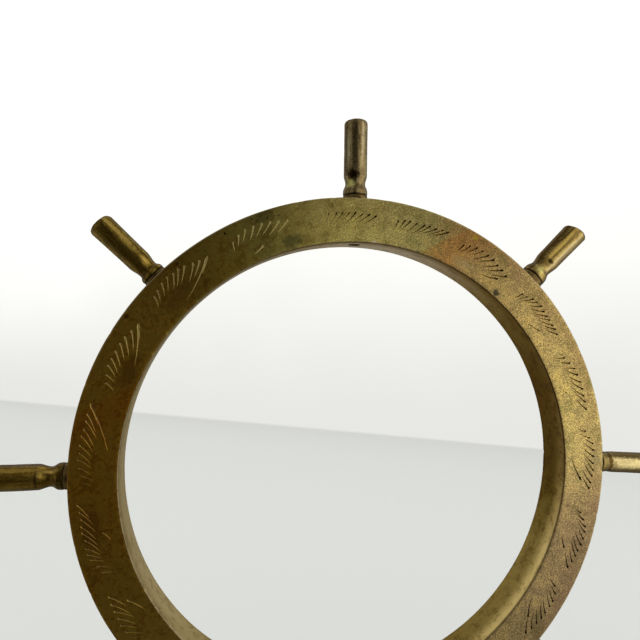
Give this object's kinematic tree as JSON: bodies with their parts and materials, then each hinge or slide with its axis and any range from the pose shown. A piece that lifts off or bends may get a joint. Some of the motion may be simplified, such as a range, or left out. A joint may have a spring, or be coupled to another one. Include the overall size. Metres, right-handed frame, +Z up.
{
  "type": "ship steering wheel",
  "caption": "Small brass ship's wheel: an open square-section rim with leaf-like tool marks and short turned spindle handles screwed into its outer edge.",
  "frame": {"origin": "centre of the rim, halfway through its thickness, on the wheel's axis", "axes": "Y is the wheel's axis with the engraved front face towards -Y, +Z points up through the handle above the drilled-through hole, +X is to the right seen from the front"},
  "size_m": [0.1991, 0.012, 0.1993],
  "materials": {
    "rim_brass": "tarnished, mottled, satin",
    "handle_brass": "worn bright on the barrel, dark in the necks",
    "collar_brass": "dull, dirty",
    "stud_steel": "plain rolled thread"
  },
  "bodies": {
    "rim": {"rim_ring": "rim_brass"},
    "top_collar": {"collar_top": "collar_brass"},
    "top_handle": {"handle_top": "handle_brass", "stud_top": "stud_steel"},
    "upper_right_collar": {"collar_upper_right": "collar_brass"},
    "upper_right_handle": {"handle_upper_right": "handle_brass", "stud_upper_right": "stud_steel"},
    "right_collar": {"collar_right": "collar_brass"},
    "right_handle": {"handle_right": "handle_brass", "stud_right": "stud_steel"},
    "lower_right_collar": {"collar_lower_right": "collar_brass"},
    "lower_right_handle": {"handle_lower_right": "handle_brass", "stud_lower_right": "stud_steel"},
    "bottom_collar": {"collar_bottom": "collar_brass"},
    "bottom_handle": {"handle_bottom": "handle_brass", "stud_bottom": "stud_steel"},
    "lower_left_collar": {"collar_lower_left": "collar_brass"},
    "lower_left_handle": {"handle_lower_left": "handle_brass", "stud_lower_left": "stud_steel"},
    "left_collar": {"collar_left": "collar_brass"},
    "left_handle": {"handle_left": "handle_brass", "stud_left": "stud_steel"},
    "upper_left_collar": {"collar_upper_left": "collar_brass"},
    "upper_left_handle": {"handle_upper_left": "handle_brass", "stud_upper_left": "stud_steel"}
  },
  "joints": [
    {"name": "lift_top", "type": "slide", "parent": "rim", "child": "top_collar", "axis": [0.014, 0, 0.9999], "range_m": [0, 0.007]},
    {"name": "unscrew_top", "type": "hinge", "parent": "top_collar", "child": "top_handle", "pos_m": [0.00106, 0, 0.07599], "axis": [0.014, 0, 0.9999], "range_deg": [0, 3600]},
    {"name": "lift_upper_right", "type": "slide", "parent": "rim", "child": "upper_right_collar", "axis": [0.7193, 0, 0.6947], "range_m": [0, 0.007]},
    {"name": "unscrew_upper_right", "type": "hinge", "parent": "upper_right_collar", "child": "upper_right_handle", "pos_m": [0.05439, 0, 0.05308], "axis": [0.7193, 0, 0.6947], "range_deg": [0, 3600]},
    {"name": "lift_right", "type": "slide", "parent": "rim", "child": "right_collar", "axis": [0.997, 0, -0.0776], "range_m": [0, 0.007]},
    {"name": "unscrew_right", "type": "hinge", "parent": "right_collar", "child": "right_handle", "pos_m": [0.07598, 0, -0.00179], "axis": [0.997, 0, -0.0776], "range_deg": [0, 3600]},
    {"name": "lift_lower_right", "type": "slide", "parent": "rim", "child": "lower_right_collar", "axis": [0.7071, 0, -0.7071], "range_m": [0, 0.007]},
    {"name": "unscrew_lower_right", "type": "hinge", "parent": "lower_right_collar", "child": "lower_right_handle", "pos_m": [0.05336, 0, -0.05411], "axis": [0.7071, 0, -0.7071], "range_deg": [0, 3600]},
    {"name": "lift_bottom", "type": "slide", "parent": "rim", "child": "bottom_collar", "axis": [0, 0, -1], "range_m": [0, 0.007]},
    {"name": "unscrew_bottom", "type": "hinge", "parent": "bottom_collar", "child": "bottom_handle", "pos_m": [-0.0004, 0, -0.076], "axis": [0, 0, -1], "range_deg": [0, 3600]},
    {"name": "lift_lower_left", "type": "slide", "parent": "rim", "child": "lower_left_collar", "axis": [-0.7071, 0, -0.7071], "range_m": [0, 0.007]},
    {"name": "unscrew_lower_left", "type": "hinge", "parent": "lower_left_collar", "child": "lower_left_handle", "pos_m": [-0.05336, 0, -0.05411], "axis": [-0.7071, 0, -0.7071], "range_deg": [0, 3600]},
    {"name": "lift_left", "type": "slide", "parent": "rim", "child": "left_collar", "axis": [-1, 0, 0.0061], "range_m": [0, 0.007]},
    {"name": "unscrew_left", "type": "hinge", "parent": "left_collar", "child": "left_handle", "pos_m": [-0.076, 0, 0.00046], "axis": [-1, 0, 0.0061], "range_deg": [0, 3600]},
    {"name": "lift_upper_left", "type": "slide", "parent": "rim", "child": "upper_left_collar", "axis": [-0.7193, 0, 0.6947], "range_m": [0, 0.007]},
    {"name": "unscrew_upper_left", "type": "hinge", "parent": "upper_left_collar", "child": "upper_left_handle", "pos_m": [-0.05421, 0, 0.05327], "axis": [-0.7193, 0, 0.6947], "range_deg": [0, 3600]}
  ],
  "couplings": [
    {"joint": "unscrew_top", "follows": "lift_top", "rad_per_m": 8976},
    {"joint": "unscrew_upper_right", "follows": "lift_upper_right", "rad_per_m": 8976},
    {"joint": "unscrew_right", "follows": "lift_right", "rad_per_m": 8976},
    {"joint": "unscrew_lower_right", "follows": "lift_lower_right", "rad_per_m": 8976},
    {"joint": "unscrew_bottom", "follows": "lift_bottom", "rad_per_m": 8976},
    {"joint": "unscrew_lower_left", "follows": "lift_lower_left", "rad_per_m": 8976},
    {"joint": "unscrew_left", "follows": "lift_left", "rad_per_m": 8976},
    {"joint": "unscrew_upper_left", "follows": "lift_upper_left", "rad_per_m": 8976}
  ]
}
